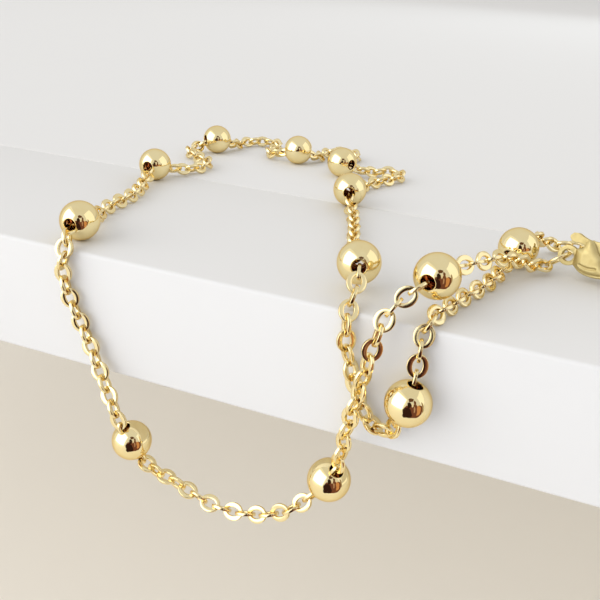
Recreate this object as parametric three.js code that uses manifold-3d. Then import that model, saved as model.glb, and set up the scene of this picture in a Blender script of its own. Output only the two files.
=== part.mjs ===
// A gold-coloured station necklace: twelve round beads spaced along a fine flat-link
// cable chain, closed with a lobster clasp. It keeps the drape of a necklace laid
// over the edge of a shelf: the rear of the loop lies on the shelf's top (z = 0) and
// two bights hang down past its front edge (y = 0).
//
// Millimetres, +Z up. The origin is on the shelf's top front edge, midway between the
// outermost places where the chain crosses it. +X runs along the edge, +Y away from it.

import * as THREE from 'three';
import { mergeVertices } from 'three/addons/utils/BufferGeometryUtils.js';
import Module from 'manifold-3d';

// ---------------------------------------------------------------- driving dimensions

const BEAD_DIAMETER = 6;
const BEAD_HOLE = 2;
const CHAIN_WIDTH = 2.4;
const JOIN_GAP = 0.45;
const RING_CLEARANCE = 1.3;

const TUBE_SIDES = 8;
const TUBE_STEP = 2.4;
const BEAD_SEGMENTS = 20;
const BEAD_ARC_STEPS = 10;
const ROUTE_STEPS_PER_ROW = 40;

const JUMP_RING = { radius: 1.85, wire: 0.25, centre: [38.4, 29.35, 2.3], normal: [-0.6, 0.3, 0.74] };
const END_RING = { radius: 2.35, wire: 0.35, centre: [8.7, -0.1, 0] };
const RING_SIDES = 8;
const RING_SEGMENTS = 28;
const HOOK_STEPS = 2;
const LEVER_STEPS = 5;
const CIRCLE_STEPS = 10;

const CLASP = {
  eyeAt: [39.7, 30.2, 2.95],
  headingDegrees: -12,
  rollDegrees: 75,
  thickness: 2.8,
  bevel: 0.2,
  bevelDepth: 0.35,
  eyeRadius: 1.65,
  eyeHole: 1.05,
  eyeThickness: 0.8,
  eyeBevel: 0.15,
};
const LEVER = {
  pivot: [3, 0.6],
  thickness: 1.3,
  hubRadius: 0.9,
  holeRadius: 0.6,
  pinRadius: 0.3,
};
const LEVER_SLOT = { x: [1.75, 5.9], y: [-0.6, 4], thickness: 1.8 };

// The route of the thread, from the wire of the jump ring round the loop to that of the
// end ring. Columns: x, y, z, and what sits at that point.
const ROUTE = [
  [37.0, 28.4, 1.5, 'jump ring'],
  [35.9, 27.0, 1.4],
  [34.9, 24.6, 2.3],
  [33.2, 20.8, 3.9],
  [31.6, 17.0, 4.9],
  [30.0, 13.4, 5.2],
  [28.6, 10.4, 5.3],
  [27.0, 8.0, 5.4],
  [26.5, 4.0, 5.5, 'bead'],
  [25.7, 0.7, 5.1],
  [23.9, -0.5, 3.8],
  [22.6, -1.6, 2.2],
  [21.9, -2.8, 0.3],
  [21.5, -3.6, -2.2],
  [21.0, -4.0, -4.8],
  [20.5, -4.0, -7.5],
  [20.0, -4.3, -10.5],
  [19.3, -4.1, -13.5],
  [18.8, -3.8, -17.0],
  [18.3, -3.5, -20.4],
  [16.5, -1.5, -24.5, 'bead'],
  [13.8, -0.6, -28.8],
  [10.5, -1.4, -32.0],
  [6.5, -1.4, -34.0],
  [2.5, -1.4, -35.0],
  [-2.0, -1.4, -35.0],
  [-6.5, -1.4, -33.5],
  [-10.3, -1.2, -32.6],
  [-13.9, -0.7, -32.0],
  [-15.5, -1.5, -28.0, 'bead'],
  [-16.0, -3.6, -24.6],
  [-18.0, -2.9, -21.2],
  [-20.3, -2.0, -17.8],
  [-23.0, -1.4, -12.5],
  [-25.5, -1.4, -7.5],
  [-27.0, -1.4, -3.0],
  [-26.2, -1.4, 0.4],
  [-27.3, 0.6, 2.4],
  [-28.0, 4.5, 3.0, 'bead'],
  [-28.1, 8.4, 2.4],
  [-31.2, 13.2, 1.4],
  [-32.7, 18.5, 1.3],
  [-33.5, 26.5, 1.3],
  [-36.5, 34.5, 1.5],
  [-38.5, 41.0, 3.0, 'bead'],
  [-37.0, 45.5, 1.5],
  [-34.0, 50.5, 1.3],
  [-35.0, 55.5, 1.3],
  [-39.5, 58.5, 1.3],
  [-43.5, 62.0, 1.3],
  [-43.5, 66.5, 1.6],
  [-40.5, 69.0, 3.0, 'bead'],
  [-38.0, 73.0, 1.5],
  [-38.5, 77.5, 1.3],
  [-35.5, 81.5, 1.3],
  [-31.0, 81.0, 1.3],
  [-29.5, 77.0, 1.3],
  [-29.5, 72.5, 1.3],
  [-26.5, 70.0, 1.5],
  [-21.5, 70.5, 3.0, 'bead'],
  [-18.0, 73.0, 1.5],
  [-18.5, 77.5, 1.3],
  [-17.5, 82.0, 1.3],
  [-13.5, 83.0, 1.3],
  [-11.0, 79.5, 1.3],
  [-12.0, 75.0, 1.3],
  [-13.0, 69.8, 1.6],
  [-9.5, 65.5, 3.0, 'bead'],
  [-5.2, 66.3, 1.6],
  [-2.8, 69.6, 1.3],
  [0.2, 71.2, 1.3],
  [2.6, 68.8, 1.3],
  [1.4, 64.8, 1.3],
  [-0.5, 61.0, 1.3],
  [-1.5, 56.0, 1.3],
  [-1.5, 50.5, 1.6],
  [-0.5, 46.0, 3.0, 'bead'],
  [1.5, 41.0, 1.6],
  [4.4, 35.0, 1.3],
  [7.0, 28.0, 1.3],
  [9.6, 21.0, 1.4],
  [12.0, 15.6, 2.4],
  [13.9, 11.0, 3.5],
  [15.1, 7.4, 4.0, 'bead'],
  [16.3, 4.0, 4.3],
  [16.8, 2.2, 2.8],
  [16.7, 0.8, 1.4],
  [16.9, -0.8, 0.3],
  [17.0, -1.5, -1.6],
  [17.3, -1.5, -4.0],
  [18.2, -1.4, -7.5],
  [19.8, -1.4, -11.5],
  [21.6, -1.5, -14.6],
  [24.4, -2.0, -14.4],
  [26.5, -3.1, -9.0, 'bead'],
  [26.8, -1.7, -4.0],
  [26.8, -1.1, -0.5],
  [27.3, 1.5, 1.25],
  [28.3, 6.0, 1.25],
  [29.2, 10.5, 1.3],
  [30.5, 15.0, 1.3],
  [31.3, 20.0, 1.3],
  [31.6, 25.0, 1.6],
  [32.5, 29.5, 3.0, 'bead'],
  [34.0, 32.8, 4.2],
  [35.0, 36.2, 2.6],
  [36.4, 39.2, 1.4],
  [39.4, 40.6, 1.3],
  [43.0, 40.3, 1.3],
  [46.5, 39.2, 1.3],
  [49.6, 37.2, 1.3],
  [51.5, 34.4, 1.4],
  [51.0, 31.8, 1.9],
  [49.7, 30.0, 2.3, 'end ring'],
];

// Outlines of the clasp, in its own plane: x runs from the centre of the eye to the
// nose of the hook, y towards the thumb tab. Columns: x, y.
const HOOK_BACK = [
  [1.0, -1.2], [2.3, -2.1], [4.2, -2.4], [6.2, -2.1], [8.2, -1.3],
  [9.5, 0.1], [9.7, 1.5], [9.1, 2.5], [8.2, 2.8],
];
const HOOK_INSIDE = [
  [8.1, 2.2], [8.5, 1.4], [8.4, 0.5], [7.6, -0.3], [6.6, -0.7], [5.7, -0.5], [5.1, 0.6],
];
const SHOULDER = [
  [5.1, 0.6], [4.4, 1.3], [3.9, 2.1], [3.3, 2.8], [2.6, 3.0], [2.1, 2.5], [1.8, 1.7], [1.0, 1.2],
];
const LEVER_TOP = [[7.6, 2.7], [6.2, 2.7], [4.8, 2.6], [3.4, 2.5], [2.0, 2.5], [0.8, 2.7], [-0.3, 3.1]];
const LEVER_TAB_UNDER = [[-0.3, 3.1], [0.3, 2.4], [1.3, 2.2], [2.0, 1.8], [2.1, 0.6]];
const LEVER_GATE_UNDER = [[4.5, 1.1], [5.4, 1.6], [6.6, 1.8], [7.7, 2.2]];

// ---------------------------------------------------------------- helpers

const wasm = await Module();
wasm.setup();

function gold(color, roughness) {
  return new THREE.MeshStandardMaterial({ color, metalness: 1, roughness });
}

function namedMesh(name, geometry, material) {
  const mesh = new THREE.Mesh(geometry, material);
  mesh.name = name;
  return mesh;
}

function numbered(prefix, index) {
  return `${prefix}_${String(index + 1).padStart(2, '0')}`;
}

function vectors2(rows) {
  return rows.map(([x, y]) => new THREE.Vector2(x, y));
}

function toManifold(geometry) {
  const bare = geometry.clone();
  bare.deleteAttribute('normal');
  bare.deleteAttribute('uv');
  const merged = mergeVertices(bare, 1e-5);
  return new wasm.Manifold(new wasm.Mesh({
    numProp: 3,
    vertProperties: new Float32Array(merged.attributes.position.array),
    triVerts: new Uint32Array(merged.index.array),
  }));
}

function toGeometry(solid) {
  const mesh = solid.getMesh();
  const geometry = new THREE.BufferGeometry();
  geometry.setAttribute('position', new THREE.BufferAttribute(mesh.vertProperties, 3));
  geometry.setIndex(new THREE.BufferAttribute(mesh.triVerts, 1));
  geometry.computeVertexNormals();
  return geometry;
}

// A flat shape made into a plate, centred on its own plane. A bevel stays inside the
// outline.
function plate(shape, thickness, curveSegments, bevel = 0, bevelDepth = bevel) {
  const geometry = new THREE.ExtrudeGeometry(shape, {
    depth: thickness - 2 * bevelDepth,
    bevelEnabled: bevel > 0,
    bevelSize: bevel,
    bevelOffset: -bevel,
    bevelThickness: bevelDepth,
    bevelSegments: 2,
    curveSegments,
  });
  geometry.translate(0, 0, bevelDepth - thickness / 2);
  return geometry;
}

// ---------------------------------------------------------------- thread

const routePoints = ROUTE.map(([x, y, z]) => new THREE.Vector3(x, y, z));
const route = new THREE.CatmullRomCurve3(routePoints, false, 'catmullrom', 0.5);
route.arcLengthDivisions = (ROUTE.length - 1) * ROUTE_STEPS_PER_ROW;
const routeLengths = route.getLengths();
const routeLength = routeLengths[routeLengths.length - 1];

const beadRows = ROUTE.flatMap((row, index) => (row[3] === 'bead' ? [index] : []));
const beadStations = beadRows.map((row) => routeLengths[row * ROUTE_STEPS_PER_ROW]);

// The part of the route between two distances along it.
class Stretch extends THREE.Curve {
  constructor(start, end) {
    super();
    this.start = start;
    this.end = end;
  }

  getPoint(t, target = new THREE.Vector3()) {
    const distance = THREE.MathUtils.lerp(this.start, this.end, t);
    return route.getPointAt(distance / routeLength, target);
  }
}

// ---------------------------------------------------------------- beads

function beadGeometry() {
  const radius = BEAD_DIAMETER / 2;
  const hole = BEAD_HOLE / 2;
  const holeAngle = Math.asin(hole / radius);
  const outline = [];
  for (let step = 0; step <= BEAD_ARC_STEPS; step += 1) {
    const angle = THREE.MathUtils.lerp(Math.PI - holeAngle, holeAngle, step / BEAD_ARC_STEPS);
    outline.push(new THREE.Vector2(radius * Math.sin(angle), radius * Math.cos(angle)));
  }
  outline.push(outline[0].clone());
  return new THREE.LatheGeometry(outline, BEAD_SEGMENTS);
}

function makeBeads() {
  const material = gold(0xe3d08e, 0.12);
  const threadAxis = new THREE.Vector3(0, 1, 0);
  return beadRows.map((row, index) => {
    const bead = namedMesh(numbered('bead', index), beadGeometry(), material.clone());
    const along = route.getTangent(row / (ROUTE.length - 1));
    bead.position.copy(routePoints[row]);
    bead.quaternion.setFromUnitVectors(threadAxis, along);
    return bead;
  });
}

// ---------------------------------------------------------------- chain

function chainSection() {
  const corners = [];
  for (let side = 0; side < TUBE_SIDES; side += 1) {
    const angle = (2 * Math.PI * side) / TUBE_SIDES;
    corners.push(new THREE.Vector2(Math.cos(angle), Math.sin(angle)).multiplyScalar(CHAIN_WIDTH / 2));
  }
  return new THREE.Shape(corners);
}

function makeChain() {
  const material = gold(0xdcc57c, 0.2);
  const section = chainSection();
  const clear = BEAD_DIAMETER / 2 + JOIN_GAP;
  const starts = [RING_CLEARANCE, ...beadStations.map((station) => station + clear)];
  const ends = [...beadStations.map((station) => station - clear), routeLength - RING_CLEARANCE];
  return starts.map((start, index) => {
    const stretch = new Stretch(start, ends[index]);
    const steps = Math.round((ends[index] - start) / TUBE_STEP);
    const tube = new THREE.ExtrudeGeometry(section, {
      steps,
      bevelEnabled: false,
      extrudePath: stretch,
    });
    return namedMesh(numbered('chain', index), tube, material.clone());
  });
}

// ---------------------------------------------------------------- clasp

function hookShape() {
  const shape = new THREE.Shape();
  shape.moveTo(...HOOK_BACK[0]);
  shape.splineThru(vectors2(HOOK_BACK.slice(1)));
  shape.lineTo(...HOOK_INSIDE[0]);
  shape.splineThru(vectors2(HOOK_INSIDE.slice(1)));
  shape.splineThru(vectors2(SHOULDER.slice(1)));
  return shape;
}

function eyeShape() {
  const shape = new THREE.Shape();
  shape.absarc(0, 0, CLASP.eyeRadius, 0, 2 * Math.PI, false);
  const hole = new THREE.Path();
  hole.absarc(0, 0, CLASP.eyeHole, 0, 2 * Math.PI, true);
  shape.holes.push(hole);
  return shape;
}

function leverShape() {
  const [pivotX, pivotY] = LEVER.pivot;
  const shape = new THREE.Shape();
  shape.moveTo(...LEVER_TOP[0]);
  shape.splineThru(vectors2(LEVER_TOP.slice(1)));
  shape.splineThru(vectors2(LEVER_TAB_UNDER.slice(1)));
  shape.absarc(pivotX, pivotY, LEVER.hubRadius, Math.PI, 2 * Math.PI, false);
  shape.splineThru(vectors2(LEVER_GATE_UNDER));
  const hole = new THREE.Path();
  hole.absarc(pivotX, pivotY, LEVER.holeRadius, 0, 2 * Math.PI, true);
  shape.holes.push(hole);
  return shape;
}

function claspBodyGeometry() {
  const hook = plate(hookShape(), CLASP.thickness, HOOK_STEPS, CLASP.bevel, CLASP.bevelDepth);
  const eye = plate(eyeShape(), CLASP.eyeThickness, CIRCLE_STEPS, CLASP.eyeBevel);
  const { x, y, thickness } = LEVER_SLOT;
  const slotBox = new THREE.BoxGeometry(x[1] - x[0], y[1] - y[0], thickness);
  slotBox.translate((x[0] + x[1]) / 2, (y[0] + y[1]) / 2, 0);
  const pin = new THREE.CylinderGeometry(LEVER.pinRadius, LEVER.pinRadius, CLASP.thickness - 0.4, 12);
  pin.rotateX(Math.PI / 2);
  pin.translate(...LEVER.pivot, 0);
  const body = toManifold(hook).add(toManifold(eye));
  return toGeometry(body.subtract(toManifold(slotBox)).add(toManifold(pin)));
}

function makeClasp() {
  const material = gold(0xd8c67a, 0.25);
  const body = namedMesh('clasp_body', claspBodyGeometry(), material);
  const leverPlate = plate(leverShape(), LEVER.thickness, LEVER_STEPS);
  const lever = namedMesh('clasp_lever', leverPlate, material.clone());
  const ringGeometry = new THREE.TorusGeometry(
    END_RING.radius, END_RING.wire, RING_SIDES, RING_SEGMENTS,
  );
  ringGeometry.rotateX(Math.PI / 2);
  const endRing = namedMesh('end_ring', ringGeometry, material.clone());
  endRing.position.set(...END_RING.centre);

  const tilted = new THREE.Group();
  tilted.rotation.x = THREE.MathUtils.degToRad(CLASP.rollDegrees);
  tilted.add(body, lever, endRing);
  const clasp = new THREE.Group();
  clasp.position.set(...CLASP.eyeAt);
  clasp.rotation.z = THREE.MathUtils.degToRad(CLASP.headingDegrees);
  clasp.add(tilted);
  return clasp;
}

function makeJumpRing() {
  const geometry = new THREE.TorusGeometry(
    JUMP_RING.radius, JUMP_RING.wire, RING_SIDES, RING_SEGMENTS,
  );
  const ring = namedMesh('jump_ring', geometry, gold(0xdcc57c, 0.2));
  const ringAxis = new THREE.Vector3(0, 0, 1);
  ring.position.set(...JUMP_RING.centre);
  ring.quaternion.setFromUnitVectors(ringAxis, new THREE.Vector3(...JUMP_RING.normal).normalize());
  return ring;
}

// ---------------------------------------------------------------- necklace

const necklace = new THREE.Group();
necklace.add(...makeBeads(), ...makeChain(), makeClasp(), makeJumpRing());

export default necklace;
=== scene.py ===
"""The looks of a gold-coloured station necklace, draped over the front edge of a pale ledge.

Metres, +Z up. The ledge's top is z = 0 and its front face is y = 0. Every bead, stretch of
chain, ring and clasp piece replaces its plain solid; the ledge and the boards are the stage.
"""

import math
import random

import bmesh
import bpy
import numpy as np
from mathutils import Matrix, Vector


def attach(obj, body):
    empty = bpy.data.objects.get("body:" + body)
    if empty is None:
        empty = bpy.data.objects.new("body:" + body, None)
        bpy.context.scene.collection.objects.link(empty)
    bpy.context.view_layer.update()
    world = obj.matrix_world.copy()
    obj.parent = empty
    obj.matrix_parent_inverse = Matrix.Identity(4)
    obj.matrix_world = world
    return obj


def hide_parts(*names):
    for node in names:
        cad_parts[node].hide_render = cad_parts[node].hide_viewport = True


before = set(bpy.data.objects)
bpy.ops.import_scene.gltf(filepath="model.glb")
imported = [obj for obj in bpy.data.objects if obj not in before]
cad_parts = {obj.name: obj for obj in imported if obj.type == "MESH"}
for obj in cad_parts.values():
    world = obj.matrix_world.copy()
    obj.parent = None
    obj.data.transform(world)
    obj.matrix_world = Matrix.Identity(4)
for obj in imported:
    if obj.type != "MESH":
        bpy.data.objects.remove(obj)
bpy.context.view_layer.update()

MM = 0.001
SEED = 11

# ---------------------------------------------------------------- sizes

BEAD_RADIUS = 3.0 * MM
BEAD_HOLE_RADIUS = 0.98 * MM
BEAD_WALL = 0.3 * MM
BEAD_LIP_RADIUS = 0.12 * MM
BEAD_NECK_DEPTH = 0.55 * MM
BEAD_SEGMENTS = 80
BEAD_OUTSIDE_POINTS = 53
BEAD_LIP_POINTS = 8
BEAD_INSIDE_POINTS = 25
# The hollow starts this much outside the neck, and at least this far from the axis (radians).
BEAD_NECK_STEP = 0.15 * MM
BEAD_HOLLOW_FROM = 0.43

# A link is a flat oval washer: half length and half width of its outside and of its hole.
LINK_OUTER = (1.55 * MM, 1.33 * MM)
LINK_HOLE = (1.03 * MM, 0.63 * MM)
LINK_THICKNESS = 0.45 * MM
LINK_ROUNDING = 0.07 * MM
LINK_LARGEST_PITCH = 2.04 * MM
LINK_INTO_BEAD = 1.4 * MM
LINK_LESS_INTO_BEAD = {"chain_02": 0.45 * MM, "chain_11": 0.75 * MM}
LINK_SQUEEZE = 0.7
LINK_PAST_JUMP_RING = 0.8 * MM
LINK_PAST_END_RING = 0.9 * MM
LINK_SEGMENTS = 40
LINK_CORNER_DEGREES = (0, 45, 90)
LINK_WIDTH_RANGE = (0.98, 1.02)
LINK_WARP = 0.06 * MM
LINK_LOOSE_DEGREES = 7

# Links that lie on the ledge sink this much towards it.
LINK_SETTLE = 0.1 * MM
LYING_BEHIND_Y = 4 * MM
LYING_BELOW_Z = 1.7 * MM

# Where the outward direction turns from up to forward: (starts at, over a length of).
TURN_BY_Y = (3 * MM, 4.5 * MM)
TURN_BY_Z = (0.5 * MM, 3 * MM)

JUMP_RING = {
    "centre": (0.0384, 0.02935, 0.0023),
    "normal": (-0.6, 0.3, 0.74),
    "radius": 1.85 * MM,
    "wire": 0.25 * MM,
    "split_degrees": 200,
}
END_RING = {
    "centre": (8.7 * MM, -0.1 * MM, 0),
    "radius": 2.35 * MM,
    "wire": 0.35 * MM,
    "split_degrees": 40,
}
RING_SEGMENTS = 72
RING_SIDES = 18
RING_CUT = 0.05 * MM

# The clasp's plane has x from the centre of the eye to the nose of the hook.
CLASP = {
    "eye_at": (0.0397, 0.0302, 0.00295),
    "heading_degrees": -12,
    "roll_degrees": 75,
    "thickness": 2.8 * MM,
    "edge_share": 0.42,
    "neck": (0.9 * MM, 2.2 * MM, 0.72),
    "dome_reach": 1.3 * MM,
    "eye_radius": 1.5 * MM,
    "eye_hole": 0.88 * MM,
    "eye_thickness": 1.1 * MM,
    "voxels": (0.08 * MM, 0.055 * MM),
}
CLASP_GROOVE = {"width": 0.3 * MM, "depth": 0.22 * MM}
LEVER = {
    "pivot": (3 * MM, 0.6 * MM),
    "thickness": 1.3 * MM,
    "hub_radius": 0.9 * MM,
    "hole_radius": 0.6 * MM,
    "pin_radius": 0.3 * MM,
    "pin_shorter": 0.05 * MM,
    "pin_rounding": 0.08 * MM,
    "pin_rounding_steps": 3,
    "voxel": 0.05 * MM,
}
LEVER_SLOT = {"x": (1.75 * MM, 5.9 * MM), "y": (-0.6 * MM, 4 * MM), "thickness": 1.8 * MM}

CAST_SMOOTHING = 6
CURVE_STEPS = 8
CIRCLE_POINTS = 48
PIN_POINTS = 24
HUB_POINTS = 20

LEDGE_SIDES = (-0.9, 0.9)
LEDGE_SEAM_AT = 0.0467
LEDGE_SEAM = 0.06 * MM
LEDGE_BACK_AT = 2.4
LEDGE_THICKNESS = 0.0184
LEDGE_ROUNDING = 0.0006
LEDGE_ROUNDING_STEPS = 4
FLOOR_AT = -0.45
BACKDROP_SIDES = (-4.0, 4.0)
BACKDROP_ROWS = ((2.5, -0.1), (3.2, 0.0), (3.6, 0.25), (4.0, 0.9))
FLOOR_ROWS = ((-4.0, FLOOR_AT), (4.0, FLOOR_AT))

CAMERA = {
    "at": (0.04711, -0.09040, 0.04053),
    "heading_degrees": 22.32,
    "pitch_degrees": -22.48,
    "roll_degrees": 3.54,
    "lens": 49.1,
    "sensor_width": 36,
    "clip": (0.005, 20),
}
# From the necklace: towards the camera, to the camera's right and to its top.
TO_FRONT = Vector((0.351, -0.855, 0.382))
CAMERA_RIGHT = Vector((0.914, 0.401, 0.057))
CAMERA_UP = Vector((-0.202, 0.330, 0.922))

# The route of the thread, from the wire of the jump ring round the loop to that of the end
# ring. Columns: x, y, z, and what sits at that point.
ROUTE = (
    (0.037, 0.0284, 0.0015, "jump ring"),
    (0.0359, 0.027, 0.0014),
    (0.0349, 0.0246, 0.0023),
    (0.0332, 0.0208, 0.0039),
    (0.0316, 0.017, 0.0049),
    (0.03, 0.0134, 0.0052),
    (0.0286, 0.0104, 0.0053),
    (0.027, 0.008, 0.0054),
    (0.0265, 0.004, 0.0055, "bead"),
    (0.0257, 0.0007, 0.0051),
    (0.0239, -0.0005, 0.0038),
    (0.0226, -0.0016, 0.0022),
    (0.0219, -0.0028, 0.0003),
    (0.0215, -0.0036, -0.0022),
    (0.021, -0.004, -0.0048),
    (0.0205, -0.004, -0.0075),
    (0.02, -0.0043, -0.0105),
    (0.0193, -0.0041, -0.0135),
    (0.0188, -0.0038, -0.017),
    (0.0183, -0.0035, -0.0204),
    (0.0165, -0.0015, -0.0245, "bead"),
    (0.0138, -0.0006, -0.0288),
    (0.0105, -0.0014, -0.032),
    (0.0065, -0.0014, -0.034),
    (0.0025, -0.0014, -0.035),
    (-0.002, -0.0014, -0.035),
    (-0.0065, -0.0014, -0.0335),
    (-0.0103, -0.0012, -0.0326),
    (-0.0139, -0.0007, -0.032),
    (-0.0155, -0.0015, -0.028, "bead"),
    (-0.016, -0.0036, -0.0246),
    (-0.018, -0.0029, -0.0212),
    (-0.0203, -0.002, -0.0178),
    (-0.023, -0.0014, -0.0125),
    (-0.0255, -0.0014, -0.0075),
    (-0.027, -0.0014, -0.003),
    (-0.0262, -0.0014, 0.0004),
    (-0.0273, 0.0006, 0.0024),
    (-0.028, 0.0045, 0.003, "bead"),
    (-0.0281, 0.0084, 0.0024),
    (-0.0312, 0.0132, 0.0014),
    (-0.0327, 0.0185, 0.0013),
    (-0.0335, 0.0265, 0.0013),
    (-0.0365, 0.0345, 0.0015),
    (-0.0385, 0.041, 0.003, "bead"),
    (-0.037, 0.0455, 0.0015),
    (-0.034, 0.0505, 0.0013),
    (-0.035, 0.0555, 0.0013),
    (-0.0395, 0.0585, 0.0013),
    (-0.0435, 0.062, 0.0013),
    (-0.0435, 0.0665, 0.0016),
    (-0.0405, 0.069, 0.003, "bead"),
    (-0.038, 0.073, 0.0015),
    (-0.0385, 0.0775, 0.0013),
    (-0.0355, 0.0815, 0.0013),
    (-0.031, 0.081, 0.0013),
    (-0.0295, 0.077, 0.0013),
    (-0.0295, 0.0725, 0.0013),
    (-0.0265, 0.07, 0.0015),
    (-0.0215, 0.0705, 0.003, "bead"),
    (-0.018, 0.073, 0.0015),
    (-0.0185, 0.0775, 0.0013),
    (-0.0175, 0.082, 0.0013),
    (-0.0135, 0.083, 0.0013),
    (-0.011, 0.0795, 0.0013),
    (-0.012, 0.075, 0.0013),
    (-0.013, 0.0698, 0.0016),
    (-0.0095, 0.0655, 0.003, "bead"),
    (-0.0052, 0.0663, 0.0016),
    (-0.0028, 0.0696, 0.0013),
    (0.0002, 0.0712, 0.0013),
    (0.0026, 0.0688, 0.0013),
    (0.0014, 0.0648, 0.0013),
    (-0.0005, 0.061, 0.0013),
    (-0.0015, 0.056, 0.0013),
    (-0.0015, 0.0505, 0.0016),
    (-0.0005, 0.046, 0.003, "bead"),
    (0.0015, 0.041, 0.0016),
    (0.0044, 0.035, 0.0013),
    (0.007, 0.028, 0.0013),
    (0.0096, 0.021, 0.0014),
    (0.012, 0.0156, 0.0024),
    (0.0139, 0.011, 0.0035),
    (0.0151, 0.0074, 0.004, "bead"),
    (0.0163, 0.004, 0.0043),
    (0.0168, 0.0022, 0.0028),
    (0.0167, 0.0008, 0.0014),
    (0.0169, -0.0008, 0.0003),
    (0.017, -0.0015, -0.0016),
    (0.0173, -0.0015, -0.004),
    (0.0182, -0.0014, -0.0075),
    (0.0198, -0.0014, -0.0115),
    (0.0216, -0.0015, -0.0146),
    (0.0244, -0.002, -0.0144),
    (0.0265, -0.0031, -0.009, "bead"),
    (0.0268, -0.0017, -0.004),
    (0.0268, -0.0011, -0.0005),
    (0.0273, 0.0015, 0.00125),
    (0.0283, 0.006, 0.00125),
    (0.0292, 0.0105, 0.0013),
    (0.0305, 0.015, 0.0013),
    (0.0313, 0.02, 0.0013),
    (0.0316, 0.025, 0.0016),
    (0.0325, 0.0295, 0.003, "bead"),
    (0.034, 0.0328, 0.0042),
    (0.035, 0.0362, 0.0026),
    (0.0364, 0.0392, 0.0014),
    (0.0394, 0.0406, 0.0013),
    (0.043, 0.0403, 0.0013),
    (0.0465, 0.0392, 0.0013),
    (0.0496, 0.0372, 0.0013),
    (0.0515, 0.0344, 0.0014),
    (0.051, 0.0318, 0.0019),
    (0.0497, 0.03, 0.0023, "end ring"),
)

# Outlines of the clasp in its own plane, in millimetres: x runs from the centre of the eye
# to the nose of the hook, y towards the thumb tab. Columns: x, y.
HOOK_BACK = (
    (1.0, -1.2), (2.3, -2.1), (4.2, -2.4), (6.2, -2.1), (8.2, -1.3),
    (9.5, 0.1), (9.7, 1.5), (9.1, 2.5), (8.2, 2.8),
)
HOOK_INSIDE = (
    (8.1, 2.2), (8.5, 1.4), (8.4, 0.5), (7.6, -0.3), (6.6, -0.7), (5.7, -0.5), (5.1, 0.6),
)
SHOULDER = (
    (5.1, 0.6), (4.4, 1.3), (3.9, 2.1), (3.3, 2.8), (2.6, 3.0), (2.1, 2.5), (1.8, 1.7), (1.0, 1.2),
)
LEVER_TOP = (
    (7.6, 2.7), (6.2, 2.75), (4.8, 2.8), (3.4, 2.8), (2.4, 2.85), (1.6, 3.1), (0.8, 3.45),
    (0.1, 3.4),
)
LEVER_TAB_UNDER = (
    (0.1, 3.4), (-0.3, 2.9), (-0.1, 2.35), (0.6, 2.05), (1.3, 2.1), (2.0, 1.8), (2.1, 0.6),
)
LEVER_GATE_UNDER = ((3.9, 0.6), (4.5, 1.1), (5.4, 1.6), (6.6, 1.8), (7.7, 2.2))
CLASP_GROOVE_LINES = (
    ((1.5, -1.3), (2.3, -1.75), (3.2, -2.0), (4.4, -2.02), (5.6, -1.85), (6.8, -1.4)),
    ((2.1, -0.95), (2.8, -1.15), (3.6, -1.2), (4.4, -1.1)),
)

# How the links of each stretch lie: the roll of the even links about the thread, in degrees,
# at even shares of the stretch. It is measured from a link that faces the front, or from one
# that lies flat on the ledge; the odd links are square to the even ones.
STRETCH_ROLL = {
    "chain_01": ("front", 45, 45, 20, 0, 0),
    "chain_02": ("front", 99, 96, 60, 45, 45, 45),
    "chain_03": ("front", 45, 0, 0, 25, 45, 45),
    "chain_04": ("front", 62, 75, 76, 76, 84),
    "chain_05": ("flat", 45, 45),
    "chain_06": ("flat", 45, 45),
    "chain_07": ("flat", 45, 45),
    "chain_08": ("flat", 45, 45),
    "chain_09": ("flat", 45, 45),
    "chain_10": ("flat", 45, 45),
    "chain_11": ("front", 90, 90, 60, 45, 45, 45),
    "chain_12": ("front", 90, 90, 90),
    "chain_13": ("flat", 45, 45),
}


# ---------------------------------------------------------------- materials

# Painted shade: the dark brown base colour inside the beads, in their holes and hollows.
INSIDE_SHADE_COLOUR = (0.45, 0.22, 0.10)
EDGE_TINT = (0.88, 0.72, 0.48)
PALE_PATCH_AT = 0.62
DEEP_PATCH_AT = 0.35

# Noise textures: scale and detail. Of their range, the middle is spread over the roughness.
NOISE_MIDDLE = (0.35, 0.65)
PATCH_NOISE = (420, 3)
POLISH_NOISE = (1500, 4)
WAVE_NOISE = (700, 3)
SCRATCH_NOISE = (9000, 5)
GRAIN_NOISE = (900, 4)

GRAIN_STRENGTH = 0.25
GRAIN_DEPTH = 0.02 * MM

# The gold of each slot; roughness is (lowest, highest).
GOLDS = {
    "bead_gold": {
        "pale": (0.96, 0.82, 0.46),
        "deep": (0.94, 0.78, 0.41),
        "roughness": (0.03, 0.07),
        "wave": 0.007 * MM,
        "scratch": 0.0003 * MM,
    },
    "chain_gold": {
        "pale": (0.96, 0.82, 0.47),
        "deep": (0.94, 0.78, 0.42),
        "roughness": (0.06, 0.16),
        "wave": 0.010 * MM,
        "scratch": 0.0008 * MM,
    },
    "clasp_gold": {
        "pale": (0.68, 0.575, 0.28),
        "deep": (0.63, 0.52, 0.24),
        "roughness": (0.5, 0.62),
        "wave": 0.02 * MM,
        "scratch": 0.002 * MM,
    },
}
LEDGE_PAINT = ("ledge_paint", (0.735, 0.72, 0.69), 0.6)
FLOOR_PAINT = ("floor_paint", (0.77, 0.73, 0.66), 0.7)


def new_material(name):
    material = bpy.data.materials.new(name)
    material.use_nodes = True
    nodes = material.node_tree.nodes
    shader = nodes["Principled BSDF"]
    return material, nodes, material.node_tree.links, shader


def noise(nodes, links, coordinates, scale, detail):
    texture = nodes.new("ShaderNodeTexNoise")
    texture.inputs["Scale"].default_value = scale
    texture.inputs["Detail"].default_value = detail
    links.new(coordinates.outputs["Object"], texture.inputs["Vector"])
    return texture


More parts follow.
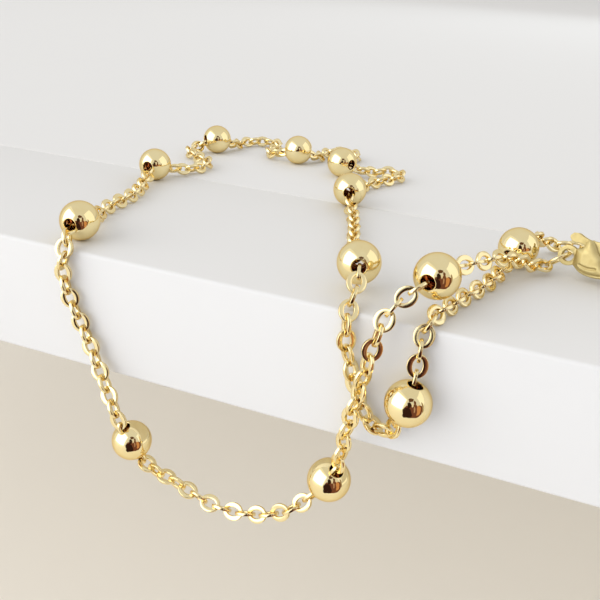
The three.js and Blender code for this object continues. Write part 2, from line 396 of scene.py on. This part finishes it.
def remap(nodes, links, socket, low, high):
    """Spreads the middle of a noise texture's range over low to high."""
    node = nodes.new("ShaderNodeMapRange")
    node.inputs["From Min"].default_value, node.inputs["From Max"].default_value = NOISE_MIDDLE
    node.inputs["To Min"].default_value = low
    node.inputs["To Max"].default_value = high
    links.new(socket, node.inputs["Value"])
    return node.outputs["Result"]


def gold(name, pale, deep, roughness, wave, scratch):
    """Polished gold plate: pale and deep patches, polish that varies, a soft waviness of the
    metal and fine handling marks, and painted shade, a dark brown base colour, where a mesh is
    marked as the inside."""
    material, nodes, links, shader = new_material(name)
    coordinates = nodes.new("ShaderNodeTexCoord")
    shader.inputs["Metallic"].default_value = 1.0
    shader.inputs["Specular Tint"].default_value = (*EDGE_TINT, 1)

    patches = noise(nodes, links, coordinates, *PATCH_NOISE)
    tone = nodes.new("ShaderNodeValToRGB")
    tone.color_ramp.elements[0].position = DEEP_PATCH_AT
    tone.color_ramp.elements[0].color = (*deep, 1)
    tone.color_ramp.elements[1].position = PALE_PATCH_AT
    tone.color_ramp.elements[1].color = (*pale, 1)
    links.new(patches.outputs["Fac"], tone.inputs["Fac"])
    # Painted shade: the base colour turns dark brown where a mesh is marked as the inside.
    inside = nodes.new("ShaderNodeAttribute")
    inside.attribute_name = "inside"
    inside_shade = nodes.new("ShaderNodeMix")
    inside_shade.data_type = "RGBA"
    inside_shade.inputs["B"].default_value = (*INSIDE_SHADE_COLOUR, 1)
    links.new(inside.outputs["Fac"], inside_shade.inputs["Factor"])
    links.new(tone.outputs["Color"], inside_shade.inputs["A"])
    links.new(inside_shade.outputs["Result"], shader.inputs["Base Color"])

    polish = noise(nodes, links, coordinates, *POLISH_NOISE)
    links.new(remap(nodes, links, polish.outputs["Fac"], *roughness), shader.inputs["Roughness"])

    soft = noise(nodes, links, coordinates, *WAVE_NOISE)
    soft_bump = nodes.new("ShaderNodeBump")
    soft_bump.inputs["Strength"].default_value = 1.0
    soft_bump.inputs["Distance"].default_value = wave
    links.new(soft.outputs["Fac"], soft_bump.inputs["Height"])

    fine = noise(nodes, links, coordinates, *SCRATCH_NOISE)
    fine_bump = nodes.new("ShaderNodeBump")
    fine_bump.inputs["Strength"].default_value = 1.0
    fine_bump.inputs["Distance"].default_value = scratch
    links.new(fine.outputs["Fac"], fine_bump.inputs["Height"])
    links.new(soft_bump.outputs["Normal"], fine_bump.inputs["Normal"])
    links.new(fine_bump.outputs["Normal"], shader.inputs["Normal"])
    return material


def painted_board(name, colour, roughness):
    material, nodes, links, shader = new_material(name)
    coordinates = nodes.new("ShaderNodeTexCoord")
    shader.inputs["Base Color"].default_value = (*colour, 1)
    shader.inputs["Roughness"].default_value = roughness
    grain = noise(nodes, links, coordinates, *GRAIN_NOISE)
    bump = nodes.new("ShaderNodeBump")
    bump.inputs["Strength"].default_value = GRAIN_STRENGTH
    bump.inputs["Distance"].default_value = GRAIN_DEPTH
    links.new(grain.outputs["Fac"], bump.inputs["Height"])
    links.new(bump.outputs["Normal"], shader.inputs["Normal"])
    return material


# ---------------------------------------------------------------- mesh tools

def mesh_object(name, vertices, faces, material, smooth=True):
    mesh = bpy.data.meshes.new(name)
    mesh.from_pydata([tuple(v) for v in vertices], [], faces)
    mesh.polygons.foreach_set("use_smooth", [smooth] * len(mesh.polygons))
    mesh.materials.append(material)
    mesh.update()
    piece = bpy.data.objects.new(name, mesh)
    bpy.context.scene.collection.objects.link(piece)
    return piece


def grid_faces(rings, points, offset=0):
    """Quads of a closed strip: rings round the way, points round the section."""
    faces = []
    for ring in range(rings):
        after = (ring + 1) % rings
        for point in range(points):
            beside = (point + 1) % points
            faces.append((
                offset + ring * points + point,
                offset + after * points + point,
                offset + after * points + beside,
                offset + ring * points + beside,
            ))
    return faces


def axes_matrix(x_axis, y_axis, z_axis, at):
    matrix = Matrix((x_axis, y_axis, z_axis)).transposed().to_4x4()
    matrix.translation = at
    return matrix


def catmull_rom(p0, p1, p2, p3, t):
    """The uniform Catmull-Rom curve from p1 (t = 0) to p2 (t = 1)."""
    return 0.5 * (2 * p1 + (p2 - p0) * t + (2 * p0 - 5 * p1 + 4 * p2 - p3) * t ** 2
                  + (3 * p1 - p0 - 3 * p2 + p3) * t ** 3)


# ---------------------------------------------------------------- thread

ROUTE_POINTS = np.array([row[:3] for row in ROUTE])
BEAD_ROWS = [index for index, row in enumerate(ROUTE) if len(row) > 3 and row[3] == "bead"]
STEPS_PER_ROW = 60
RUN_ON = 2 * MM


def route_samples():
    """The curve through the route's rows, and the length along it. It runs on straight past
    both ends."""
    points = np.vstack([
        2 * ROUTE_POINTS[0] - ROUTE_POINTS[1],
        ROUTE_POINTS,
        2 * ROUTE_POINTS[-1] - ROUTE_POINTS[-2],
    ])
    t = np.arange(STEPS_PER_ROW)[:, None] / STEPS_PER_ROW
    curve = [catmull_rom(*points[row:row + 4], t) for row in range(len(ROUTE_POINTS) - 1)]
    curve = np.vstack([*curve, ROUTE_POINTS[-1:]])
    lengths = np.concatenate([[0], np.cumsum(np.linalg.norm(np.diff(curve, axis=0), axis=1))])
    before = curve[0] - (curve[1] - curve[0]) / lengths[1] * RUN_ON
    after = curve[-1] + (curve[-1] - curve[-2]) / (lengths[-1] - lengths[-2]) * RUN_ON
    curve = np.vstack([before, curve, after])
    lengths = np.concatenate([[-RUN_ON], lengths, [lengths[-1] + RUN_ON]])
    return curve, lengths


CURVE, LENGTHS = route_samples()
ROUTE_END = LENGTHS[-2]
BEAD_STATIONS = [LENGTHS[1 + row * STEPS_PER_ROW] for row in BEAD_ROWS]


def route_point(distance):
    return Vector([np.interp(distance, LENGTHS, CURVE[:, axis]) for axis in range(3)])


def surface_outward(point):
    """Away from the ledge: up on its top, forward in front of it, and between at the edge."""
    hang = min(max((TURN_BY_Y[0] - point.y) / TURN_BY_Y[1], 0.0), 1.0)
    drop = min(max((TURN_BY_Z[0] - point.z) / TURN_BY_Z[1], 0.0), 1.0)
    share = max(hang * 0.5, drop)
    return Vector((0, -share, 1 - share)).normalized()


# ---------------------------------------------------------------- beads

def bead_profile():
    """The bead's wall in (radius, height) round a closed loop: the outside, the rolled lip of
    the hole, the short neck inside it, and the hollow inside."""
    lip = BEAD_LIP_RADIUS
    lip_centre_radius = BEAD_HOLE_RADIUS + lip
    lip_height = math.sqrt((BEAD_RADIUS - lip) ** 2 - lip_centre_radius ** 2)
    edge_angle = math.atan2(lip_centre_radius, lip_height)
    outside = [
        (BEAD_RADIUS * math.sin(angle), BEAD_RADIUS * math.cos(angle))
        for angle in np.linspace(edge_angle, math.pi - edge_angle, BEAD_OUTSIDE_POINTS)
    ]
    upper_lip = [
        (lip_centre_radius + lip * math.cos(angle), lip_height + lip * math.sin(angle))
        for angle in np.linspace(math.pi, math.pi / 2 - edge_angle, BEAD_LIP_POINTS)
    ][:-1]
    neck_end = lip_height - BEAD_NECK_DEPTH
    inner = BEAD_RADIUS - BEAD_WALL
    start_angle = math.atan2(BEAD_HOLE_RADIUS + BEAD_NECK_STEP, neck_end)
    start_angle = max(start_angle, BEAD_HOLLOW_FROM)
    inside = [
        (inner * math.sin(angle), inner * math.cos(angle))
        for angle in np.linspace(start_angle, math.pi - start_angle, BEAD_INSIDE_POINTS)
    ]
    lower_lip = [(radius, -height) for radius, height in reversed(upper_lip)]
    neck_top = [(BEAD_HOLE_RADIUS, neck_end)]
    neck_bottom = [(BEAD_HOLE_RADIUS, -neck_end)]
    return upper_lip + outside + lower_lip + neck_bottom + inside[::-1] + neck_top


def make_bead(index, material):
    profile = bead_profile()
    row = BEAD_ROWS[index]
    along = Vector(ROUTE_POINTS[row + 1] - ROUTE_POINTS[row - 1]).normalized()
    turn = along.to_track_quat("Z", "Y").to_matrix().to_4x4()
    turn.translation = Vector(ROUTE_POINTS[row])
    vertices = []
    for segment in range(BEAD_SEGMENTS):
        angle = 2 * math.pi * segment / BEAD_SEGMENTS
        for radius, height in profile:
            point = Vector((radius * math.cos(angle), radius * math.sin(angle), height))
            vertices.append(turn @ point)
    faces = grid_faces(BEAD_SEGMENTS, len(profile))
    node = f"bead_{index + 1:02d}"
    bead = mesh_object(f"polished_{node}", vertices, faces, material)
    # The neck and the hollow inside the bead are marked for the painted shade.
    shaded_inside = [float(math.hypot(*point) < BEAD_RADIUS - BEAD_WALL / 2) for point in profile]
    inside = bead.data.attributes.new("inside", "FLOAT", "POINT")
    inside.data.foreach_set("value", shaded_inside * BEAD_SEGMENTS)
    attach(bead, "necklace")
    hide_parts(node)


# ---------------------------------------------------------------- chain

def link_section(width):
    """Points round a flat band with rounded corners: (across from the hole, up)."""
    corner = LINK_ROUNDING
    middles = (
        (width - corner, LINK_THICKNESS / 2 - corner, 0),
        (corner, LINK_THICKNESS / 2 - corner, 90),
        (corner, corner - LINK_THICKNESS / 2, 180),
        (width - corner, corner - LINK_THICKNESS / 2, 270),
    )
    points = []
    for across, up, start in middles:
        for step in LINK_CORNER_DEGREES:
            angle = math.radians(start + step)
            points.append((across + corner * math.cos(angle), up + corner * math.sin(angle)))
    return points


LINK_SECTION_POINTS = len(link_section(0.5 * MM))


def link_shape(chance, squeeze):
    """One flat oval link round its own centre, x along it and z through its faces, with the
    small unevenness of a pressed link. A squeezed one is narrow enough for a bead's hole."""
    half_width = LINK_OUTER[1] * squeeze * chance.uniform(*LINK_WIDTH_RANGE)
    warp = chance.uniform(-LINK_WARP, LINK_WARP)
    half_hole = LINK_HOLE[1] - LINK_OUTER[1] * (1 - squeeze)
    points = []
    for step in range(LINK_SEGMENTS):
        angle = 2 * math.pi * step / LINK_SEGMENTS
        inner = Vector((LINK_HOLE[0] * math.cos(angle), half_hole * math.sin(angle)))
        outer = Vector((LINK_OUTER[0] * math.cos(angle), half_width * math.sin(angle)))
        band = outer - inner
        lift = warp * math.sin(2 * angle) / 2
        for across, up in link_section(band.length):
            point = inner + band * (across / band.length)
            points.append(Vector((point.x, point.y, up + lift)))
    return points


def link_frame(start, end, measured_from, roll):
    """A link's place between two distances along the thread."""
    a, b = route_point(start), route_point(end)
    along = (b - a).normalized()
    middle = (a + b) / 2
    outward = surface_outward(middle)
    rest = TO_FRONT if measured_from == "front" else outward
    rest = (rest - along * rest.dot(along)).normalized()
    face = Matrix.Rotation(roll, 3, along) @ rest
    if middle.y > LYING_BEHIND_Y and middle.z < LYING_BELOW_Z:
        middle -= outward * LINK_SETTLE
    return axes_matrix(along, face.cross(along), face, middle)


def make_chain(index, material, chance):
    node = f"chain_{index + 1:02d}"
    length = 2 * LINK_OUTER[0]
    to_mouth = math.sqrt(BEAD_RADIUS ** 2 - BEAD_HOLE_RADIUS ** 2)
    is_first = index == 0
    is_last = index == len(BEAD_STATIONS)
    if is_first:
        first = -LINK_PAST_JUMP_RING
    else:
        into_bead = LINK_LESS_INTO_BEAD.get(node, LINK_INTO_BEAD)
        first = BEAD_STATIONS[index - 1] + to_mouth - into_bead
    if is_last:
        last = ROUTE_END + LINK_PAST_END_RING
    else:
        last = BEAD_STATIONS[index] - to_mouth + LINK_INTO_BEAD
    span = last - first - length
    gaps = math.ceil(span / LINK_LARGEST_PITCH)
    pitch = span / gaps
    measured_from, *rolls = STRETCH_ROLL[node]
    vertices = []
    faces = []
    for link in range(gaps + 1):
        roll = np.interp(link / gaps, np.linspace(0, 1, len(rolls)), rolls)
        roll += chance.uniform(-LINK_LOOSE_DEGREES, LINK_LOOSE_DEGREES) + (90 if link % 2 else 0)
        start = first + link * pitch
        place = link_frame(start, start + length, measured_from, math.radians(roll))
        in_bead = (link == 0 and not is_first) or (link == gaps and not is_last)
        faces += grid_faces(LINK_SEGMENTS, LINK_SECTION_POINTS, len(vertices))
        vertices += [place @ point for point in link_shape(chance, LINK_SQUEEZE if in_bead else 1)]
    links = mesh_object(f"links_{index + 1:02d}", vertices, faces, material)
    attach(links, "necklace")
    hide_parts(node)


# ---------------------------------------------------------------- rings

def make_ring(name, node, matrix, size, material):
    """A round wire bent into a ring, with the two cut ends close together."""
    rings, sides = RING_SEGMENTS, RING_SIDES
    radius, wire = size["radius"], size["wire"]
    split = math.radians(size["split_degrees"])
    gap = RING_CUT / radius
    vertices = []
    for ring in range(rings + 1):
        angle = split + gap / 2 + (2 * math.pi - gap) * ring / rings
        out = Vector((math.cos(angle), math.sin(angle), 0))
        for side in range(sides):
            turn = 2 * math.pi * side / sides
            offset = out * (radius + wire * math.cos(turn)) + Vector((0, 0, wire * math.sin(turn)))
            vertices.append(matrix @ offset)
    faces = [face for face in grid_faces(rings + 1, sides) if face[0] < rings * sides]
    faces.append(tuple(range(sides)))
    faces.append(tuple(reversed(range(rings * sides, (rings + 1) * sides))))
    ring = mesh_object(name, vertices, faces, material)
    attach(ring, "necklace")
    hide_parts(node)


# ---------------------------------------------------------------- clasp

def clasp_matrix():
    heading = Matrix.Rotation(math.radians(CLASP["heading_degrees"]), 4, "Z")
    roll = Matrix.Rotation(math.radians(CLASP["roll_degrees"]), 4, "X")
    return Matrix.Translation(CLASP["eye_at"]) @ heading @ roll


def spline(points):
    """The smooth open curve through points in a plane, without its first point."""
    rows = np.array([points[0], *points, points[-1]], float)
    return [
        tuple(catmull_rom(*rows[row:row + 4], step / CURVE_STEPS))
        for row in range(len(points) - 1)
        for step in range(1, CURVE_STEPS + 1)
    ]


def arc(centre, radius, angles):
    return [(centre[0] + radius * math.cos(a), centre[1] + radius * math.sin(a)) for a in angles]


def circle(centre, radius, points=CIRCLE_POINTS):
    return arc(centre, radius, [2 * math.pi * point / points for point in range(points)])


def half_circle_below(centre, radius):
    return arc(centre, radius, np.linspace(math.pi, 2 * math.pi, HUB_POINTS))


def prism(name, outline, thickness):
    """A plate with the outline given in metres, centred on its own plane."""
    mesh = bpy.data.meshes.new(name)
    build = bmesh.new()
    face = build.faces.new([build.verts.new((x, y, -thickness / 2)) for x, y in outline])
    grown = bmesh.ops.extrude_face_region(build, geom=[face])
    top = [item for item in grown["geom"] if isinstance(item, bmesh.types.BMVert)]
    bmesh.ops.translate(build, vec=(0, 0, thickness), verts=top)
    bmesh.ops.triangulate(build, faces=[f for f in build.faces if len(f.verts) > 4])
    bmesh.ops.recalc_face_normals(build, faces=build.faces)
    build.to_mesh(mesh)
    build.free()
    piece = bpy.data.objects.new(name, mesh)
    bpy.context.scene.collection.objects.link(piece)
    return piece


def apply_modifiers(piece):
    evaluated = piece.evaluated_get(bpy.context.evaluated_depsgraph_get())
    mesh = bpy.data.meshes.new_from_object(evaluated)
    piece.modifiers.clear()
    piece.data = mesh


def combine(piece, tool, operation):
    step = piece.modifiers.new(operation, "BOOLEAN")
    step.operation = operation
    step.object = tool
    step.solver = "EXACT"
    apply_modifiers(piece)
    bpy.data.objects.remove(tool)


def remesh(piece, voxel):
    step = piece.modifiers.new("remesh", "REMESH")
    step.mode = "VOXEL"
    step.voxel_size = voxel
    apply_modifiers(piece)


def smooth(piece):
    """Rounds a finely meshed piece's edges, as on a cast and tumbled piece."""
    step = piece.modifiers.new("smooth", "SMOOTH")
    step.factor = 0.5
    step.iterations = CAST_SMOOTHING
    apply_modifiers(piece)
    piece.data.polygons.foreach_set("use_smooth", [True] * len(piece.data.polygons))


def distance_to_line(points, line):
    """The shortest distance in a plane from each point to a line of segments."""
    nearest = np.full(len(points), np.inf)
    for start, end in zip(line[:-1], line[1:]):
        start, way = np.array(start), np.array(end) - np.array(start)
        share = np.clip((points - start) @ way / max(way @ way, 1e-18), 0, 1)
        nearest = np.minimum(nearest, np.linalg.norm(points - start - share[:, None] * way, axis=1))
    return nearest


def dome(piece, outline, edge_share, reach, grooves=()):
    """Thins a plate towards its outline and its neck, so that both faces are domed, and cuts
    grooves."""
    places = np.empty(len(piece.data.vertices) * 3)
    piece.data.vertices.foreach_get("co", places)
    places = places.reshape(-1, 3)
    inward = np.clip(distance_to_line(places[:, :2], [*outline, outline[0]]) / reach, 0, 1)
    places[:, 2] *= edge_share + (1 - edge_share) * np.sqrt(1 - (1 - inward) ** 2)
    neck_start, neck_end, neck_share = CLASP["neck"]
    places[:, 2] *= np.interp(places[:, 0], (neck_start, neck_end), (neck_share, 1))
    for line, width, depth in grooves:
        near = np.clip(1 - distance_to_line(places[:, :2], line) / width, 0, 1)
        places[:, 2] -= np.sign(places[:, 2]) * depth * (3 * near ** 2 - 2 * near ** 3)
    piece.data.vertices.foreach_set("co", places.ravel())
    piece.data.update()


def in_metres(points):
    return [(x * MM, y * MM) for x, y in points]


def finish_clasp_piece(piece, body, node, material):
    piece.data.transform(clasp_matrix())
    piece.data.materials.clear()
    piece.data.materials.append(material)
    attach(piece, body)
    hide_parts(node)


def make_clasp_body(material):
    outline = in_metres([
        HOOK_BACK[0], *spline(HOOK_BACK), HOOK_INSIDE[0], *spline(HOOK_INSIDE), *spline(SHOULDER),
    ])
    coarse_voxel, fine_voxel = CLASP["voxels"]
    body = prism("clasp_hook", outline, CLASP["thickness"])
    remesh(body, coarse_voxel)
    grooves = [
        (in_metres([line[0], *spline(line)]), CLASP_GROOVE["width"], CLASP_GROOVE["depth"])
        for line in CLASP_GROOVE_LINES
    ]
    dome(body, outline, CLASP["edge_share"], CLASP["dome_reach"], grooves)
    eye = prism("eye", circle((0, 0), CLASP["eye_radius"]), CLASP["eye_thickness"])
    combine(body, eye, "UNION")
    hole = prism("hole", circle((0, 0), CLASP["eye_hole"]), CLASP["thickness"])
    combine(body, hole, "DIFFERENCE")
    (x0, x1), (y0, y1) = LEVER_SLOT["x"], LEVER_SLOT["y"]
    slot = prism("slot", [(x0, y0), (x1, y0), (x1, y1), (x0, y1)], LEVER_SLOT["thickness"])
    combine(body, slot, "DIFFERENCE")
    remesh(body, fine_voxel)
    smooth(body)
    finish_clasp_piece(body, "necklace", "clasp_body", material)


def make_clasp_pin(material):
    outline = circle(LEVER["pivot"], LEVER["pin_radius"], PIN_POINTS)
    pin = prism("clasp_pin", outline, CLASP["thickness"] - LEVER["pin_shorter"])
    rounding = pin.modifiers.new("rounding", "BEVEL")
    rounding.width = LEVER["pin_rounding"]
    rounding.segments = LEVER["pin_rounding_steps"]
    rounding.limit_method = "ANGLE"
    apply_modifiers(pin)
    pin.data.transform(clasp_matrix())
    pin.data.materials.append(material)
    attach(pin, "necklace")


def make_clasp_lever(material):
    hub = [(x / MM, y / MM) for x, y in half_circle_below(LEVER["pivot"], LEVER["hub_radius"])]
    outline = in_metres([
        LEVER_TOP[0], *spline(LEVER_TOP), *spline(LEVER_TAB_UNDER), *hub[1:],
        *spline(LEVER_GATE_UNDER),
    ])
    lever = prism("clasp_thumb_lever", outline, LEVER["thickness"])
    hole = prism("hole", circle(LEVER["pivot"], LEVER["hole_radius"]), LEVER["thickness"] * 3)
    combine(lever, hole, "DIFFERENCE")
    remesh(lever, LEVER["voxel"])
    smooth(lever)
    finish_clasp_piece(lever, "lever", "clasp_lever", material)


# ---------------------------------------------------------------- stage, lights, camera

def board(name, near, far, material):
    """A straight board of the ledge between two places behind its front face."""
    left, right = LEDGE_SIDES
    mesh = bpy.data.meshes.new(name)
    build = bmesh.new()
    bmesh.ops.create_cube(build, size=1)
    bmesh.ops.scale(build, vec=(right - left, far - near, LEDGE_THICKNESS), verts=build.verts)
    middle = ((left + right) / 2, (near + far) / 2, -LEDGE_THICKNESS / 2)
    bmesh.ops.translate(build, vec=middle, verts=build.verts)
    build.to_mesh(mesh)
    build.free()
    piece = bpy.data.objects.new(name, mesh)
    bpy.context.scene.collection.objects.link(piece)
    rounding = piece.modifiers.new("rounding", "BEVEL")
    rounding.width = LEDGE_ROUNDING
    rounding.segments = LEDGE_ROUNDING_STEPS
    mesh.materials.append(material)
    mesh.polygons.foreach_set("use_smooth", [True] * len(mesh.polygons))


def sheet(name, rows, material):
    """A backdrop across the studio through rows of (y, z)."""
    vertices = [(x, y, z) for y, z in rows for x in BACKDROP_SIDES]
    faces = [(2 * row, 2 * row + 1, 2 * row + 3, 2 * row + 2) for row in range(len(rows) - 1)]
    piece = mesh_object(name, vertices, faces, material)


STUDIO_CENTRE = Vector((0.01, 0.01, 0))
STUDIO_COLOUR = (0.985, 0.985, 1.0)
STUDIO_STRENGTH = 0.76
FLOOR_FILL_AT = (0.35, 0.75, -2 * LEDGE_THICKNESS)

# Glowing cards that make painted reflections in the metal: name, degrees right of and above
# the camera, distance, half width and half height in degrees, colour.
CARDS = (
    ("brown_card", (19, -33), 0.32, (41, 31), (0.17, 0.062, 0.042)),
    ("dark_card", (-10, -40), 0.31, (21, 24), (0.035, 0.014, 0.012)),
    ("black_card", (-1, -4), 0.30, (8, 13), (0.03, 0.016, 0.012)),
    ("upper_card", (8, 18), 0.30, (11, 8), (0.13, 0.065, 0.04)),
    ("side_card", (25, 2), 0.30, (5, 13), (0.17, 0.08, 0.05)),
    ("pale_card", (14, -5), 0.29, (4, 8), (0.85, 0.78, 0.68)),
    ("small_pale_card", (36, -4), 0.29, (4, 5), (0.80, 0.72, 0.62)),
    ("tan_strip", (24, -24), 0.30, (3, 13), (0.48, 0.30, 0.22)),
    ("orange_card", (45, -26), 0.31, (8, 20), (0.62, 0.29, 0.13)),
    ("grey_strip", (63, -14), 0.30, (4, 20), (0.36, 0.27, 0.18)),
)
CARD_POINTS = 32
CARD_SQUARENESS = 0.7
# The waves that make a card's outline ragged: share of its size, waves round it, start.
CARD_WAVES = ((0.09, 3, 1), (0.07, 5, 0), (0.05, 9, 0))


def direction(right, up):
    """The direction from the necklace that is so many degrees right of and above the camera."""
    right, up = math.radians(right), math.radians(up)
    level = TO_FRONT * math.cos(right) + CAMERA_RIGHT * math.sin(right)
    return level * math.cos(up) + CAMERA_UP * math.sin(up)


def facing_matrix(away, distance):
    """A place in that direction from the necklace, with its z axis pointing away from it."""
    away = Vector(away).normalized()
    matrix = away.to_track_quat("Z", "Y").to_matrix().to_4x4()
    matrix.translation = STUDIO_CENTRE + away * distance
    return matrix


def area_light(name, away, distance, size, radiance, colour=(1, 1, 1), seen_in_metal=True):
    """A soft light towards the necklace, in the direction `away` from it, that the camera
    doesn't see."""
    data = bpy.data.lights.new(name, "AREA")
    data.shape = "RECTANGLE"
    data.size, data.size_y = size
    data.energy = radiance * 4 * size[0] * size[1]
    data.color = colour
    light = bpy.data.objects.new(name, data)
    light.matrix_world = facing_matrix(away, distance)
    light.visible_camera = False
    light.visible_glossy = seen_in_metal
    bpy.context.scene.collection.objects.link(light)
    return light


def card(name, at_degrees, distance, half_degrees, colour):
    """A card with a ragged outline that glows in its own colour, for the metal to mirror: a painted
    reflection that only reflections show.
    """
    material, _, _, shader = new_material(name)
    shader.inputs["Base Color"].default_value = (0, 0, 0, 1)
    shader.inputs["Emission Color"].default_value = (*colour, 1)
    shader.inputs["Emission Strength"].default_value = 1
    shader.inputs["Specular IOR Level"].default_value = 0
    half_width, half_height = (distance * math.tan(math.radians(a)) for a in half_degrees)
    place = facing_matrix(direction(*at_degrees), distance)
    corners = []
    for step in range(CARD_POINTS):
        angle = 2 * math.pi * step / CARD_POINTS
        ragged = 1
        for share, waves, start in CARD_WAVES:
            ragged += share * math.sin(waves * angle + start)
        x, y = (
            ragged * half * math.copysign(abs(turn) ** CARD_SQUARENESS, turn)
            for half, turn in ((half_width, math.cos(angle)), (half_height, math.sin(angle)))
        )
        corners.append(place @ Vector((x, y, 0)))
    piece = mesh_object(name, corners, [tuple(range(CARD_POINTS))], material, False)
    piece.visible_camera = False
    piece.visible_diffuse = False
    piece.visible_shadow = False


def make_world():
    world = bpy.data.worlds.new("studio")
    world.use_nodes = True
    background = world.node_tree.nodes["Background"]
    background.inputs["Color"].default_value = (*STUDIO_COLOUR, 1)
    background.inputs["Strength"].default_value = STUDIO_STRENGTH
    bpy.context.scene.world = world


def make_camera():
    data = bpy.data.cameras.new("camera")
    data.lens = CAMERA["lens"]
    data.sensor_width = CAMERA["sensor_width"]
    data.clip_start, data.clip_end = CAMERA["clip"]
    camera = bpy.data.objects.new("camera", data)
    heading = Matrix.Rotation(math.radians(CAMERA["heading_degrees"]), 4, "Z")
    pitch = Matrix.Rotation(math.radians(90 + CAMERA["pitch_degrees"]), 4, "X")
    roll = Matrix.Rotation(math.radians(CAMERA["roll_degrees"]), 4, "Z")
    camera.matrix_world = Matrix.Translation(CAMERA["at"]) @ heading @ pitch @ roll
    bpy.context.scene.collection.objects.link(camera)
    bpy.context.scene.camera = camera


def make_lights():
    area_light("window", (-0.59, -0.69, 0.38), distance=3, size=(3.8, 3.3), radiance=1.25)
    area_light("curtain", direction(-66, 5), distance=3.2, size=(7.0, 7.6), radiance=0.14,
               colour=(1.0, 0.98, 0.95))
    area_light("right_glow", direction(78, 8), distance=3, size=(3.0, 4.5), radiance=0.3)
    area_light("front_fill", (0.35, -0.93, -0.08), distance=1.5, size=(1.0, 1.0), radiance=0.75,
               colour=(0.05, 0.35, 1.0), seen_in_metal=False)
    area_light("back_fill", (0.1, 0.85, 0.5), distance=0.9, size=(0.5, 0.5), radiance=1.0,
               colour=(0.85, 0.93, 1.0), seen_in_metal=False)
    floor_fill = area_light("floor_fill", (0, 0, 1), distance=1, size=(2.6, 2.6), radiance=0.2,
                            colour=(1.0, 0.98, 0.93), seen_in_metal=False)
    floor_fill.matrix_world = Matrix.Translation(FLOOR_FILL_AT)


def make_studio():
    ledge_paint = painted_board(*LEDGE_PAINT)
    board("ledge_front", 0, LEDGE_SEAM_AT, ledge_paint)
    board("ledge_rear", LEDGE_SEAM_AT + LEDGE_SEAM, LEDGE_BACK_AT, ledge_paint)
    sheet("backdrop", BACKDROP_ROWS, ledge_paint)
    sheet("floor", FLOOR_ROWS, painted_board(*FLOOR_PAINT))
    make_world()
    make_lights()
    for row in CARDS:
        card(*row)


# ---------------------------------------------------------------- necklace

def make_necklace():
    chance = random.Random(SEED)
    bead_gold, chain_gold, clasp_gold = (gold(name, **look) for name, look in GOLDS.items())
    for index in range(len(BEAD_ROWS)):
        make_bead(index, bead_gold)
    for index in range(len(BEAD_ROWS) + 1):
        make_chain(index, chain_gold, chance)
    ring_place = Vector(JUMP_RING["normal"]).to_track_quat("Z", "Y").to_matrix().to_4x4()
    ring_place.translation = Vector(JUMP_RING["centre"])
    make_ring("split_jump_ring", "jump_ring", ring_place, JUMP_RING, chain_gold)
    end_place = clasp_matrix() @ Matrix.Translation(END_RING["centre"])
    end_place = end_place @ Matrix.Rotation(math.pi / 2, 4, "X")
    make_ring("round_end_ring", "end_ring", end_place, END_RING, clasp_gold)
    make_clasp_body(clasp_gold)
    make_clasp_pin(clasp_gold)
    make_clasp_lever(clasp_gold)


make_camera()
make_necklace()
make_studio()
bpy.context.scene.view_settings.view_transform = "Standard"
